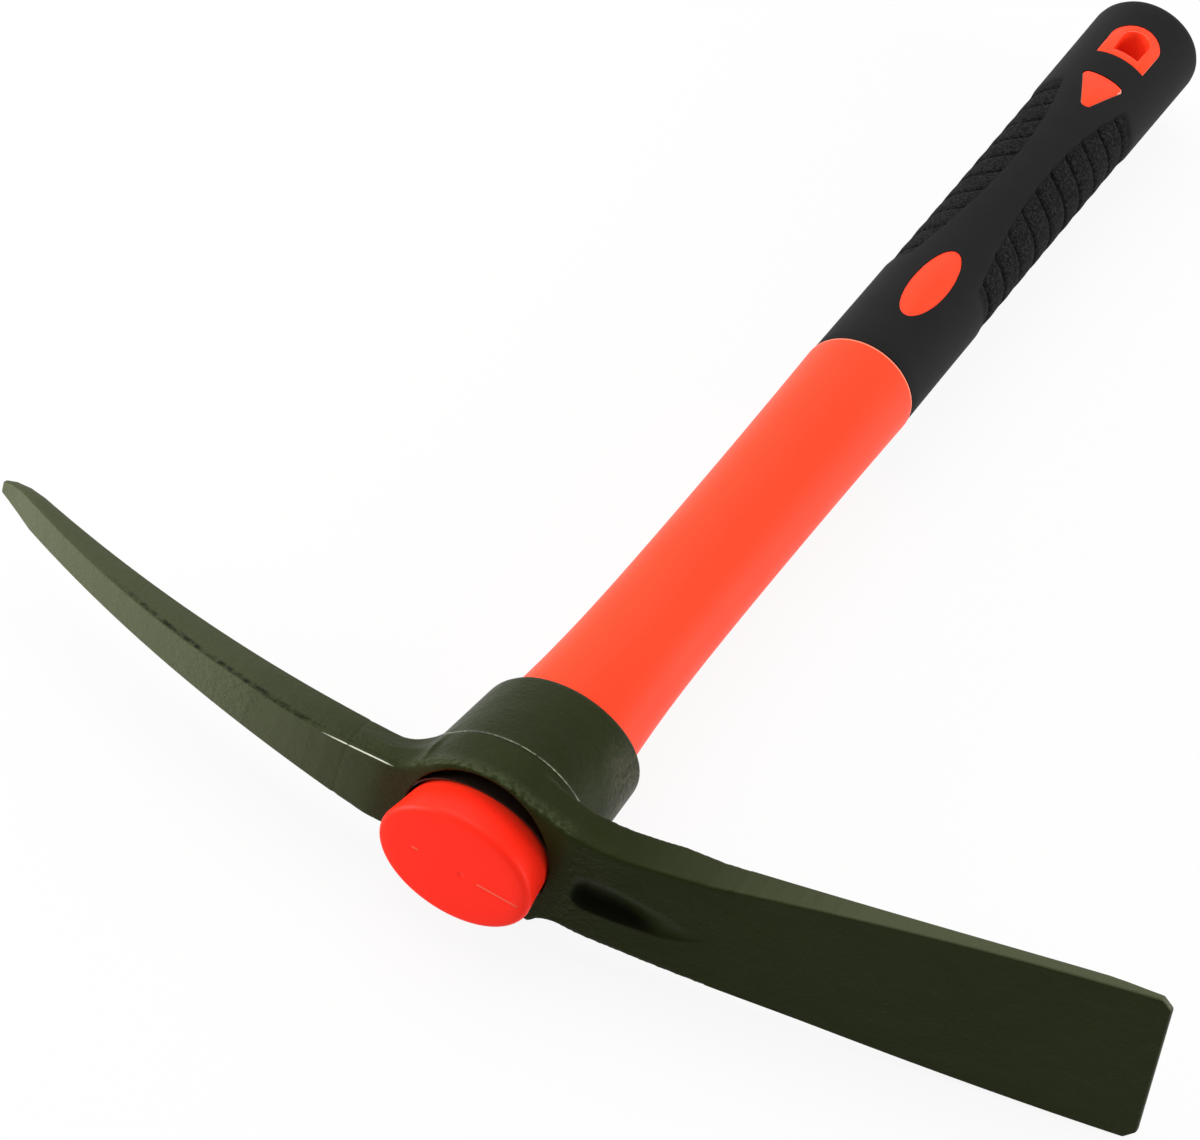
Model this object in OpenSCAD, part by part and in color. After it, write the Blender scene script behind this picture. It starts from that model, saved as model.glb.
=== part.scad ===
// Hand pick mattock: a forged head on a moulded handle with a glass-fibre core.
// Sizes are in millimetres. The tool lies on its side with the handle along Y: the knob is at the
// low end, the pick points to -X and the blade to +X. The handle's oval is wide in X and low in Z.

/* [Handle] */
// Length of the tool from the knob's face to the butt
overall_len = 400; // [380:1:430]
// Length of bare handle from the knob's face to the grip's seam
shaft_len = 199; // [190:1:204]
// Width of the knob's oval
knob_w = 34.6; // [33.5:0.1:35]
// Height of the knob's oval
knob_h = 26; // [25:0.1:27]
// Rounding of the knob's front edge
knob_round = 2.4; // [1:0.1:5]
// Width of the handle where it leaves the collar
neck_w = 30.2; // [29:0.1:31]
// Height of the handle where it leaves the collar
neck_h = 24.4; // [23.6:0.1:24.8]
// Distance of the shaft's slimmest place from the knob's face
waist_y = 109; // [90:1:130]
// Width of the shaft at its slimmest place
waist_w = 26.4; // [24:0.1:30]
// Height of the shaft at its slimmest place
waist_h = 23.4; // [21:0.1:24]
// Width of the shaft's shoulder at the seam
shoulder_w = 28.4; // [28:0.1:30]
// Height of the shaft's shoulder at the seam
shoulder_h = 26.2; // [26:0.1:28]
// Diameter of the pinhole in the knob's face, left where the core was held in the mould
pinhole_d = 2; // [1:0.1:4]

/* [Core rod] */
// Diameter of the glass-fibre rod
core_d = 14; // [8:0.1:16]
// Distance that the rod stops short of the hanging hole
core_stop = 16.7; // [6:0.1:100]
// Depth of the rod's end behind the knob's face
core_depth = 8; // [5:0.5:14]

/* [Grip] */
// Width of the grip at the seam
grip_w = 28; // [27:0.1:28]
// Height of the grip at the seam
grip_h = 25.8; // [25:0.1:26]
// Width of the grip just before the butt's rounding
butt_w = 29; // [28:0.1:31]
// Height of the grip just before the butt's rounding
butt_h = 27; // [26:0.1:28]
// Length of the butt's rounding
butt_round = 9; // [6:0.1:11]
// Depth by which the rounding draws the butt in from its sides
butt_draw = 11.5; // [8:0.1:12.5]
// Thickness of the sleeve's side wall
grip_wall = 2.6; // [2:0.1:3.4]
// Thickness of the sleeve's closed end
butt_wall = 7; // [5:0.1:9]

/* [Ribs] */
// Number of grooves along each ribbed panel
rib_count = 10; // [4:1:10]
// Distance from groove to groove
rib_pitch = 10; // [7:0.1:10]
// Width of a groove
rib_groove_w = 1.4; // [0.8:0.1:2.5]
// Depth of a groove
rib_groove_depth = 0.9; // [0.4:0.1:1.4]
// Distance that a groove runs toward the butt on its way down to the grip's side
rib_lean = 6; // [2:0.5:8]
// Distance of the last groove's upper end from the butt
rib_from_butt = 61.5; // [58:0.5:70]
// Width of the smooth strip at its slimmest place
strip_w = 8.6; // [6:0.1:11]
// Width of the smooth strip at the panels' ends
strip_end_w = 17; // [12:0.1:20]

/* [Windows] */
// Length of the oval island
oval_len = 32.2; // [24:0.1:36]
// Width of the oval island
oval_w = 9.2; // [6:0.1:12]
// Distance of the oval's middle from the seam
oval_from_seam = 32; // [28:0.5:34]
// Length of the triangular island
triangle_len = 17.5; // [12:0.1:19]
// Width of the triangular island at its base
triangle_w = 11; // [8:0.1:13]
// Rounding of the triangle's corners
triangle_round = 1.2; // [0.6:0.1:2]
// Distance of the triangle's base from the butt
triangle_from_butt = 52; // [48:0.5:56]
// Length of the D-shaped island round the hanging hole
hang_len = 18.6; // [17:0.1:20]
// Width of the D-shaped island
hang_w = 14.2; // [13:0.1:16]
// Distance of the D's flat side from the butt
hang_from_butt = 40.5; // [39:0.1:42]
// Length of the hanging hole
hole_len = 12.6; // [10:0.1:13]
// Width of the hanging hole
hole_w = 8; // [6:0.1:9]
// Distance from the D's flat side to the hole's flat side
hole_margin = 3.2; // [2.5:0.1:4]
// Rounding of the two corners on a D's flat side
hang_round = 1; // [0.5:0.1:2]

/* [Eye] */
// Height that the knob stands out of the eye
knob_stand = 8.4; // [5:0.1:12]
// Width of the eye's outer oval
eye_w = 39.6; // [38.6:0.1:42]
// Height of the eye's outer oval
eye_h = 33.6; // [32.6:0.1:36]
// Depth of the eye's body, from its front face to the crease
eye_depth = 13; // [11:0.1:15]
// Chamfer of the eye's front edge
eye_chamfer = 0.6; // [0.3:0.1:1]
// Radius of the hollow corners between the eye and the arms
eye_fillet = 4; // [2:0.1:6]
// Length of the collar behind the crease
collar_len = 26.5; // [20:0.5:30]
// Width of the collar at the crease
collar_front_w = 38.4; // [37.4:0.1:39]
// Height of the collar at the crease
collar_front_h = 32.2; // [30:0.1:33]
// Width of the collar's rear rim
collar_rear_w = 35; // [34:0.1:37]
// Height of the collar's rear rim
collar_rear_h = 28.8; // [27.8:0.1:30]
// Thickness of the epoxy between the handle and the eye
bond_t = 0.5; // [0.3:0.1:0.7]
// Depth of the epoxy's ends inside the eye
bond_depth = 2; // [0.5:0.1:5]

/* [Blade] */
// Distance from the handle's axis to the cutting edge's furthest corner
blade_reach = 141.6; // [120:0.1:160]
// Distance from the handle's axis to the place where the blade's front face leaves the eye
blade_root_x = 14.5; // [13:0.1:16]
// Angle by which the blade leans back toward the hand
blade_lean = 18; // [10:0.5:24]
// Width of the blade at its root
blade_root_w = 17.2; // [12:0.1:20]
// Width of the cutting edge
blade_edge_w = 39.8; // [36:0.1:46]
// Thickness of the blade at its root
blade_root_t = 13.8; // [11:0.1:15]
// Thickness of the blade at the cutting edge
blade_edge_t = 1.9; // [1.2:0.1:3]
// Angle by which the cutting edge is off square
blade_skew = 9; // [0:0.5:12]
// Length of the corners cut off the edge
blade_corner = 2.4; // [1:0.1:6]
// Chamfer along the blade's long edges
blade_chamfer = 0.6; // [0.3:0.1:0.9]
// Length of the thumb-shaped hollow in the blade's front face
hollow_len = 27; // [15:0.5:40]
// Width of the hollow at its deep end
hollow_w = 9; // [5:0.1:10]
// Depth of the hollow at its deep end
hollow_depth = 2.4; // [1:0.1:3]
// Radius of the hollow's point
hollow_point = 0.6; // [0.3:0.1:1]

/* [Pick] */
// Distance from the handle's axis to the pick's tip
pick_reach = 128.5; // [110:0.1:150]
// Distance from the handle's axis to the pick's root
pick_root_x = 19; // [17:0.1:22]
// Distance that the tip's front face lies behind the root's
pick_sweep = 20.6; // [10:0.1:30]
// Width of the pick at its root
pick_root_w = 16.4; // [12:0.1:20]
// Width of the pick at its tip
pick_tip_w = 6.2; // [4:0.1:8]
// Thickness of the pick at its root
pick_root_t = 9.9; // [8:0.1:12]
// Thickness of the pick at its tip
pick_tip_t = 3.3; // [2:0.1:5]

/* [Hidden] */

// Clearance between two pieces that are moulded or glued together
fit_gap = 0.05;
// Length by which a cut runs past the face that it opens
overrun = 1;
// Depth by which one face of the forging lies under another, so that no two coincide
sink = 0.06;
// Thickness of the slices that a swept shape is drawn between
slice_t = 0.01;
// Length between two slices along the handle
slice_step = 9;
// Depth of the islands below the grip's outside
island_depth = 0.3;
// Width of the open line between the shoulder and the grip
seam_gap = 0.6;

// Squareness of the handle's oval: 2 is an ellipse, more is squarer
oval_power = 2.1;
// How quickly the neck slims behind the collar, and how late the shoulder flares
neck_power = 2.8;
flare_power = 1.7;
// How the blade thins and widens, and how the pick curves, thins and narrows
blade_thin_power = 2.3;
blade_flare_power = 1.82;
pick_curve_power = 2.2;
pick_thin_power = 2.3;
pick_narrow_power = 2.2;
// Where the pick's upper face breaks toward the back, and how high the back face stays at the tip
pick_ridge_share = 0.45;
pick_back_share = 0.75;
// Size of the pick's blunt end against the section just before it, and the length of that taper
pick_end_share = 0.55;
pick_end_len = 4;

oval_sides = 40;
round_sides = 32;
arm_steps = 16;
round_slices = 5;
strip_steps = 12;

seam_y = shaft_len;
grip_y = seam_y + seam_gap;
butt_y = overall_len - butt_round;
eye_y = knob_stand;
crease_y = eye_y + eye_depth;
collar_y = crease_y + collar_len;
eye_face_w = eye_w - 2 * eye_chamfer;
eye_face_h = eye_h - 2 * eye_chamfer;
hang_y = overall_len - hang_from_butt;
hole_y = hang_y + hole_margin;
core_len = hole_y - core_stop - core_depth;
triangle_y = overall_len - triangle_from_butt;
panel_end = overall_len - rib_from_butt + rib_lean;
panel_start = panel_end - rib_count * rib_pitch;
panel_mid = (panel_start + panel_end) / 2;
hole_top = max(butt_h, grip_h) / 2 + overrun;
blade_edge_x = blade_reach - (blade_edge_w / 2 - blade_corner) * tan(blade_skew);
frame_shift = [(pick_reach - blade_reach) / 2, -overall_len / 2, blade_edge_w / 2];

function mix(a, b, share) = a + (b - a) * share;

// Width and height of the bare handle at a distance from the knob's face
function handle_size(y) =
    let (
        knob = [knob_w, knob_h],
        neck = [neck_w, neck_h],
        waist = [waist_w, waist_h],
        shoulder = [shoulder_w, shoulder_h]
    )
    y < collar_y ? mix(knob, neck, y / collar_y)
    : y < waist_y ? mix(waist, neck, pow((waist_y - y) / (waist_y - collar_y), neck_power))
    : mix(waist, shoulder, pow((y - waist_y) / (seam_y - waist_y), flare_power));

// Width and height of the grip's outside, without the butt's rounding
function grip_size(y) =
    mix([grip_w, grip_h], [butt_w, butt_h], min(1, (y - seam_y) / (butt_y - seam_y)));

// Evenly spaced places from one distance to another, both included
function places(from, to, step) =
    let (count = max(1, ceil((to - from) / step)))
    [for (i = [0:count]) mix(from, to, i / count)];

// Sections [y, width, height] of the handle and of the grip, all grown by the same margin.
// The grip tapers evenly, so its two ends are enough.
function handle_sections(from, to, margin) =
    [for (y = places(from, to, slice_step)) concat(y, handle_size(y) + 2 * [margin, margin])];
function grip_sections(from, to, margin) =
    [for (y = [from, to]) concat(y, grip_size(y) + 2 * [margin, margin])];

// Sections of a rounding that ends in a flat face: it draws the size in along a quarter ellipse
function rounding(y, size, length, draw) =
    [for (i = [0:round_slices])
        let (angle = 90 * i / round_slices, inset = draw * (1 - cos(angle)))
        concat(y + length * sin(angle), size - 2 * [inset, inset])];

function oval_points(w, h) =
    [for (i = [0:oval_sides - 1])
        let (angle = 360 * i / oval_sides, c = cos(angle), s = sin(angle))
        [w / 2 * sign(c) * pow(abs(c), 2 / oval_power), h / 2 * sign(s) * pow(abs(s), 2 / oval_power)]];

module oval_slice(section)
    translate([0, section[0], 0])
        rotate([90, 0, 0])
            linear_extrude(slice_t, center = true)
                polygon(oval_points(section[1], section[2]));

// Skin drawn from each oval section to the next
module oval_loft(sections)
    for (i = [1:len(sections) - 1])
        hull() {
            oval_slice(sections[i - 1]);
            oval_slice(sections[i]);
        }

// Places the tool in its frame: middle of its box on the surface that it lies on
module in_frame()
    translate(frame_shift)
        children();

// Outlines of the islands, seen from above
module oval_outline(margin)
    translate([0, seam_y + oval_from_seam])
        scale([oval_w / 2 + margin, oval_len / 2 + margin])
            circle(1, $fn = round_sides);

module triangle_outline(margin)
    hull()
        for (corner = [[-triangle_w / 2 + triangle_round, triangle_y - triangle_round],
                       [triangle_w / 2 - triangle_round, triangle_y - triangle_round],
                       [0, triangle_y - triangle_len + triangle_round]])
            translate(corner)
                circle(triangle_round + margin, $fn = round_sides);

module d_outline(y, w, length, margin)
    hull() {
        for (side = [-1, 1])
            translate([side * (w / 2 - hang_round), y + hang_round])
                circle(hang_round + margin, $fn = round_sides);
        translate([0, y + length - w / 2])
            circle(w / 2 + margin, $fn = round_sides);
    }

module islands_outline(margin) {
    oval_outline(margin);
    triangle_outline(margin);
    d_outline(hang_y, hang_w, hang_len, margin);
}

module through_both_faces()
    linear_extrude(2 * hole_top, center = true)
        children();

// Space of the glass-fibre rod
module core_space(margin)
    translate([0, core_depth - margin, 0])
        rotate([-90, 0, 0])
            cylinder(d = core_d + 2 * margin, h = core_len + 2 * margin, $fn = round_sides);

module grip_outside(margin) {
    oval_loft(grip_sections(grip_y, butt_y, margin));
    oval_loft(rounding(butt_y, grip_size(butt_y) + 2 * [margin, margin], butt_round, butt_draw));
}

module core_rod()
    color("gainsboro")
        in_frame()
            core_space(0);

// Orange moulding: knob, plug, shaft and the body under the grip with its islands
module handle_jacket()
    color("orangered")
        in_frame()
            difference() {
                union() {
                    oval_loft(rounding(knob_round, handle_size(knob_round), -knob_round, knob_round));
                    oval_loft(handle_sections(knob_round, seam_y, 0));
                    oval_loft(grip_sections(
                        seam_y - overrun, overall_len - butt_wall - fit_gap, -grip_wall - fit_gap));
                    intersection() {
                        through_both_faces()
                            islands_outline(-fit_gap);
                        grip_outside(-island_depth);
                    }
                }
                core_space(fit_gap);
                translate([0, -overrun, 0])
                    rotate([-90, 0, 0])
                        cylinder(d = pinhole_d, h = core_depth + overrun, $fn = round_sides);
                through_both_faces()
                    d_outline(hole_y, hole_w, hole_len, 0);
            }

// Half width of the smooth strip between the ribbed panels
function strip_half(y) =
    mix(strip_w, strip_end_w, pow(2 * (y - panel_mid) / (panel_end - panel_start), 2)) / 2;

// Ribbed panels, seen from above: everything beside the hourglass strip
module panels_outline()
    for (side = [-1, 1])
        polygon(concat(
            [for (y = places(panel_start, panel_end, rib_pitch * rib_count / strip_steps))
                [side * strip_half(y), y]],
            [[side * butt_w, panel_end + rib_lean], [side * butt_w, panel_start]]));

// One pair of slanting grooves: they start beside the strip and lean toward the butt
module rib_groove(y)
    for (face = [-1, 1])
        hull() {
            translate([0, y, face * butt_h / 2])
                cube([2 * butt_w, rib_groove_w, slice_t], center = true);
            translate([0, y + rib_lean, 0])
                cube([2 * butt_w, rib_groove_w, slice_t], center = true);
        }

module rib_grooves()
    intersection() {
        for (i = [0:rib_count - 1])
            rib_groove(overall_len - rib_from_butt - i * rib_pitch);
        through_both_faces()
            panels_outline();
        difference() {
            oval_loft(grip_sections(panel_start - rib_pitch, panel_end + rib_pitch, overrun));
            oval_loft(grip_sections(
                panel_start - 2 * rib_pitch, panel_end + 2 * rib_pitch, -rib_groove_depth));
        }
    }

// Black overmoulding with windows for the islands, ribbed at both sides
module grip_sleeve()
    color("dimgray")
        in_frame()
            difference() {
                grip_outside(0);
                oval_loft(grip_sections(seam_y - overrun, overall_len - butt_wall, -grip_wall));
                through_both_faces()
                    islands_outline(0);
                rib_grooves();
            }

// Epoxy that fills the taper between the handle's plug and the eye
module eye_bond()
    color("wheat")
        in_frame()
            difference() {
                oval_loft(handle_sections(eye_y + bond_depth, collar_y - bond_depth, bond_t - fit_gap));
                oval_loft(handle_sections(eye_y, collar_y, fit_gap));
            }

// Ring of an arm at one place: the points of its section lie in Y and Z
function arm_ring(x, y, points, skew = 0) =
    [for (point = points) [x - point[1] * tan(skew), y + point[0], point[1]]];

// Solid from ring to ring along +X, closed at both ends
module arm(rings) {
    sides = len(rings[0]);
    last = len(rings) - 1;
    polyhedron(
        points = [for (ring = rings) each ring],
        faces = concat(
            [[for (i = [0:sides - 1]) i]],
            [for (k = [0:last - 1], i = [0:sides - 1])
                let (a = k * sides + i, b = k * sides + (i + 1) % sides)
                each [[a, a + sides, b + sides], [a, b + sides, b]]],
            [[for (i = [sides - 1:-1:0]) last * sides + i]]));
}

// The blade's front face is flat and leans back, its back face runs out in a hollow curve
function blade_y(x) = eye_y + (x - blade_root_x) * tan(blade_lean);
function blade_w(share) = mix(blade_edge_w, blade_root_w, pow(1 - share, blade_flare_power));
function blade_t(share) = mix(blade_edge_t, blade_root_t, pow(1 - share, blade_thin_power));
function blade_points(w, t) =
    [[blade_chamfer, -w / 2], [t - blade_chamfer, -w / 2], [t, -w / 2 + blade_chamfer],
     [t, w / 2 - blade_chamfer], [t - blade_chamfer, w / 2], [blade_chamfer, w / 2],
     [0, w / 2 - blade_chamfer], [0, -w / 2 + blade_chamfer]];
function blade_ring(share, w_cut = 0) =
    let (x = mix(blade_root_x, blade_edge_x, share))
    arm_ring(x, blade_y(x), blade_points(blade_w(share) - w_cut, blade_t(share)), blade_skew * share);

module blade() {
    corner_share = 1 - blade_corner / (blade_edge_x - blade_root_x);
    arm(concat(
        [for (i = [0:arm_steps]) blade_ring(corner_share * i / arm_steps)],
        [blade_ring(1, 2 * blade_corner)]));
}

// The pick curves back, with a flat ridge along its front and a sloping back
function pick_w(share) = mix(pick_tip_w, pick_root_w, pow(1 - share, pick_narrow_power));
function pick_t(share) = mix(pick_root_t, pick_tip_t, pow(share, pick_thin_power));
function pick_y(share) = eye_y + sink + pick_sweep * pow(share, pick_curve_power);
function pick_points(w, t, back_share) =
    [[0, -w / 2], [t * pick_ridge_share, -w / 2], [t, -w / 2 * back_share],
     [t, w / 2 * back_share], [t * pick_ridge_share, w / 2], [0, w / 2]];
function pick_ring(x, share, size_share = 1) =
    arm_ring(
        -x, pick_y(share) + pick_t(share) * (1 - size_share) / 2,
        size_share * pick_points(pick_w(share), pick_t(share), mix(1, pick_back_share, share)));

module pick() {
    tip_x = pick_reach - pick_end_len;
    arm(concat(
        [pick_ring(pick_reach, 1, pick_end_share)],
        [for (i = [arm_steps:-1:0]) pick_ring(mix(pick_root_x, tip_x, i / arm_steps), i / arm_steps)],
        [pick_ring(blade_root_x, 0)]));
}

// Outline of the eye's body with the arms' roots, seen from the front
module eye_outline()
    offset(r = -eye_fillet, $fn = round_sides)
        offset(r = eye_fillet, $fn = round_sides) {
            polygon(oval_points(eye_face_w - 2 * sink, eye_face_h - 2 * sink));
            translate([-pick_root_x - eye_fillet, -pick_root_w / 2 + sink])
                square([pick_root_x, pick_root_w - 2 * sink]);
            translate([eye_fillet, -blade_root_w / 2])
                square([pick_root_x, blade_root_w]);
        }

// Space just in front of the blade's front face, where the eye slopes back into the blade
module blade_front_space()
    translate([blade_root_x, eye_y, 0])
        rotate([0, 0, blade_lean])
            translate([0, -eye_depth - sink, -eye_h])
                cube([eye_w, eye_depth, 2 * eye_h]);

// Roots of the two arms with their hollow corners, as deep as the pick
module arm_roots()
    translate([0, eye_y + pick_root_t, 0])
        rotate([90, 0, 0])
            linear_extrude(pick_root_t - 2 * sink)
                eye_outline();

// Hollow pressed into the blade's front face, deepest next to the eye
module blade_hollow() {
    deep_x = eye_w / 2 + hollow_w / 2;
    end_x = deep_x + hollow_len;
    hull() {
        translate([deep_x, blade_y(deep_x), 0])
            scale([hollow_w / 2, hollow_depth, hollow_w / 2])
                sphere(1, $fn = round_sides);
        translate([end_x, blade_y(end_x), 0])
            sphere(hollow_point, $fn = round_sides);
    }
}

// One forging: eye, collar, blade and pick
module head()
    color("darkolivegreen")
        in_frame()
            difference() {
                union() {
                    oval_loft([[eye_y, eye_face_w, eye_face_h],
                               [eye_y + eye_chamfer, eye_w, eye_h],
                               [crease_y, eye_w, eye_h]]);
                    arm_roots();
                    oval_loft([[crease_y - overrun, collar_front_w, collar_front_h],
                               [crease_y, collar_front_w, collar_front_h],
                               [collar_y, collar_rear_w, collar_rear_h]]);
                    blade();
                    pick();
                }
                oval_loft(handle_sections(eye_y - overrun, collar_y + overrun, bond_t));
                blade_front_space();
                blade_hollow();
            }

core_rod();
handle_jacket();
grip_sleeve();
eye_bond();
head();
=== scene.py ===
import math

import bpy
from mathutils import Matrix, Vector


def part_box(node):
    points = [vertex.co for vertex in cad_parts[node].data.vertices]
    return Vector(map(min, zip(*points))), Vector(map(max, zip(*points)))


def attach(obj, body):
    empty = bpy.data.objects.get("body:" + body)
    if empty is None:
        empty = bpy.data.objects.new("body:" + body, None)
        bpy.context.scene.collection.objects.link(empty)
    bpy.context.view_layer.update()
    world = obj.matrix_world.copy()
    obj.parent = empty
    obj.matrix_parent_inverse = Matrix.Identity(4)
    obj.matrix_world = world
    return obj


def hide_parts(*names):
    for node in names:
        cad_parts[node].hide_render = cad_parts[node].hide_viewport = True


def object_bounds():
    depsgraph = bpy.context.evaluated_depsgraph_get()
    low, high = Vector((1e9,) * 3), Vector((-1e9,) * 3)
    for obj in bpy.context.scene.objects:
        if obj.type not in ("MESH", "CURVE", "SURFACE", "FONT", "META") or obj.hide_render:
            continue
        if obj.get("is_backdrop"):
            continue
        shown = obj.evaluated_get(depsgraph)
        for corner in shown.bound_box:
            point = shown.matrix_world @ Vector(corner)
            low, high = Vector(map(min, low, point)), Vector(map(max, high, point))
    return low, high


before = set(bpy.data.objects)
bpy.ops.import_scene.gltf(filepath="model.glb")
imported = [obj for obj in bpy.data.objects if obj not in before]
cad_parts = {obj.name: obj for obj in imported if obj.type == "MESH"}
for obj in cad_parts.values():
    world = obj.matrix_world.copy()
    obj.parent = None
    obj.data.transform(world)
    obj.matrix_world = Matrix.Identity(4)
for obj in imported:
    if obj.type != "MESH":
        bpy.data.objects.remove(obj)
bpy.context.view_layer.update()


# Core rod
# A pultruded glass-fibre rod that the handle is moulded round. It takes the bending load and
# shows only if the handle is cut open. The CAD rod is right as it is and gets its finish here.

MM = 0.001
FIBRE_RESIN = "#D2D6BE"
FIBRE_STRAND = "#AEB69A"
FIBRE_STRAND_MM = 0.6
FIBRE_LENGTH_MM = 40
FIBRE_DEPTH_MM = 0.05
FIBRE_ROUGHNESS = 0.45


def linear(hex_colour):
    """Linear colour of an sRGB hex value."""
    channels = [int(hex_colour[i:i + 2], 16) / 255 for i in (1, 3, 5)]
    return tuple(c / 12.92 if c <= 0.04045 else ((c + 0.055) / 1.055) ** 2.4 for c in channels) + (1,)


def add_node(tree, kind, links=None, **settings):
    """Adds a node with its settings and gives its outputs. A link is an input with a value or an output."""
    node = tree.nodes.new(kind)
    for name, value in settings.items():
        setattr(node, name, value)
    for name, value in (links or {}).items():
        if isinstance(value, bpy.types.NodeSocket):
            tree.links.new(value, node.inputs[name])
        else:
            node.inputs[name].default_value = value
    return node.outputs


def per_metre(size_mm):
    """Texture scale at which one feature of a noise is about this many millimetres wide."""
    return 1 / (size_mm * MM)


def new_material(name):
    """An empty material, its node tree and its surface shader."""
    material = bpy.data.materials.new(name)
    material.use_nodes = True
    tree = material.node_tree
    return material, tree, tree.nodes["Principled BSDF"]


# Pultruded glass fibre: pale resin with long darker strands, which run the length of the rod.
glass_fibre, tree, shader = new_material("pultruded_glass_fibre")
place = add_node(tree, "ShaderNodeTexCoord")["Object"]
along = add_node(tree, "ShaderNodeMapping", {"Vector": place, "Scale": (
    per_metre(FIBRE_STRAND_MM), per_metre(FIBRE_LENGTH_MM), per_metre(FIBRE_STRAND_MM))})
strands = add_node(tree, "ShaderNodeTexNoise", {"Vector": along[0], "Scale": 1, "Detail": 3})
tint = add_node(tree, "ShaderNodeMix", {
    "Factor": strands[0], 6: linear(FIBRE_RESIN), 7: linear(FIBRE_STRAND)}, data_type="RGBA")
raised = add_node(tree, "ShaderNodeBump", {
    "Height": strands[0], "Distance": FIBRE_DEPTH_MM * MM})
tree.links.new(tint[2], shader.inputs["Base Color"])
tree.links.new(raised[0], shader.inputs["Normal"])
shader.inputs["Roughness"].default_value = FIBRE_ROUGHNESS

core_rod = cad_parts["core_rod"]
core_rod.data.materials.clear()
core_rod.data.materials.append(glass_fibre)


# Handle jacket
# One orange polypropylene moulding round the rod: the oval knob that stands out of the eye, the
# plug inside the eye, the bare shaft, and the body under the grip with three raised islands.

OVAL_SIDES = 128
KNOB = (35.4, 26.6)
KNOB_ROUND = 1.6
KNOB_CROWN = 0.35
KNOB_MIDDLE = (0.5, 0.4)
KNOB_FACE_SHARES = (0, 0.35, 0.65, 0.85, 1)
NECK_Y = 47.9
NECK = (30.2, 24.4)
KNOB_FLARE_POWER = 3.0
NECK_POWER = 2.8
WAIST_Y = 109.0
WAIST = (26.4, 23.4)
SEAM_Y = 199.0
SHOULDER = (28.4, 26.2)
FLARE_POWER = 1.7
SEAM_LIP = 0.45
SHAFT_STEP = 4.0
BODY_STEP = 40.0
ROUND_STEPS = 8
EDGE_STEPS = 4
JACKET_SMOOTH = math.radians(35)

GRIP = (28.0, 25.8)
BUTT = (31.0, 27.3)
BUTT_POWER = 1.6
BUTT_Y = 390.6
BUTT_ROUND = 7.0
BUTT_DRAW = 8.6
GRIP_WALL = 2.6
BUTT_WALL = 7.0

ISLAND_SIDES = 64
ISLAND_DEPTH = 0.12
LIMIT_SIDES = 48
ISLAND_WELD = 0.55
ISLAND_BEVEL = 0.6
ISLAND_SHARP = math.radians(40)
RIM_FROM = 0.93
RIM_FACING = (0.1, 0.8)
WINDOW_GAP = 0.12
WINDOW_X = 0.55
OVAL_Y = 232.3
OVAL = (9.2, 32.2)
TRIANGLE_Y = 349.1
TRIANGLE = (11.6, 16.8)
TRIANGLE_TIP_X = 0.5
TRIANGLE_ROUND = 1.5
HANG_Y = 360.6
HANG = (14.2, 18.6)
HOLE_Y = 363.8
HOLE = (8.0, 12.6)
HALF_REACH = 20.0
HANDLE_SET = 0.6

core_low, core_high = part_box("core_rod")
AXIS = (core_low + core_high) / 2
KNOB_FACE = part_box("handle_jacket")[0].y


def at(x, y, z):
    """Place in the frame of a point given in millimetres from the knob's face and the handle's axis."""
    return Vector((AXIS.x + x * MM, KNOB_FACE + y * MM, AXIS.z + z * MM))


def mix(a, b, share):
    """Value between two numbers or two pairs."""
    if isinstance(a, tuple):
        return tuple(mix(p, q, share) for p, q in zip(a, b))
    return a + (b - a) * share


def grown(size, margin):
    """Width and height with a margin added on all sides."""
    return tuple(side + 2 * margin for side in size)


def handle_size(y):
    """Width and height of the bare handle at a distance from the knob's face."""
    if y < NECK_Y:
        return mix(NECK, KNOB, (1 - y / NECK_Y) ** KNOB_FLARE_POWER)
    if y < WAIST_Y:
        return mix(WAIST, NECK, ((WAIST_Y - y) / (WAIST_Y - NECK_Y)) ** NECK_POWER)
    return mix(WAIST, SHOULDER, ((y - WAIST_Y) / (SEAM_Y - WAIST_Y)) ** FLARE_POWER)


def grip_size(y):
    """Width and height of the grip's outside, without the butt's rounding."""
    return mix(GRIP, BUTT, min(1, max(0, (y - SEAM_Y) / (BUTT_Y - SEAM_Y))) ** BUTT_POWER)


def steps(start, end, step):
    """Evenly spaced numbers from start to end, both included."""
    count = max(1, math.ceil(abs(end - start) / step))
    return [start + (end - start) * i / count for i in range(count + 1)]


def rounded(length, depth, count):
    """A quarter round where a body begins: how far along each ring lies and how much it is grown."""
    angles = steps(0, math.pi / 2, math.pi / 2 / count)
    return [(length * (1 - math.cos(angle)), -depth * (1 - math.sin(angle))) for angle in angles]


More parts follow.
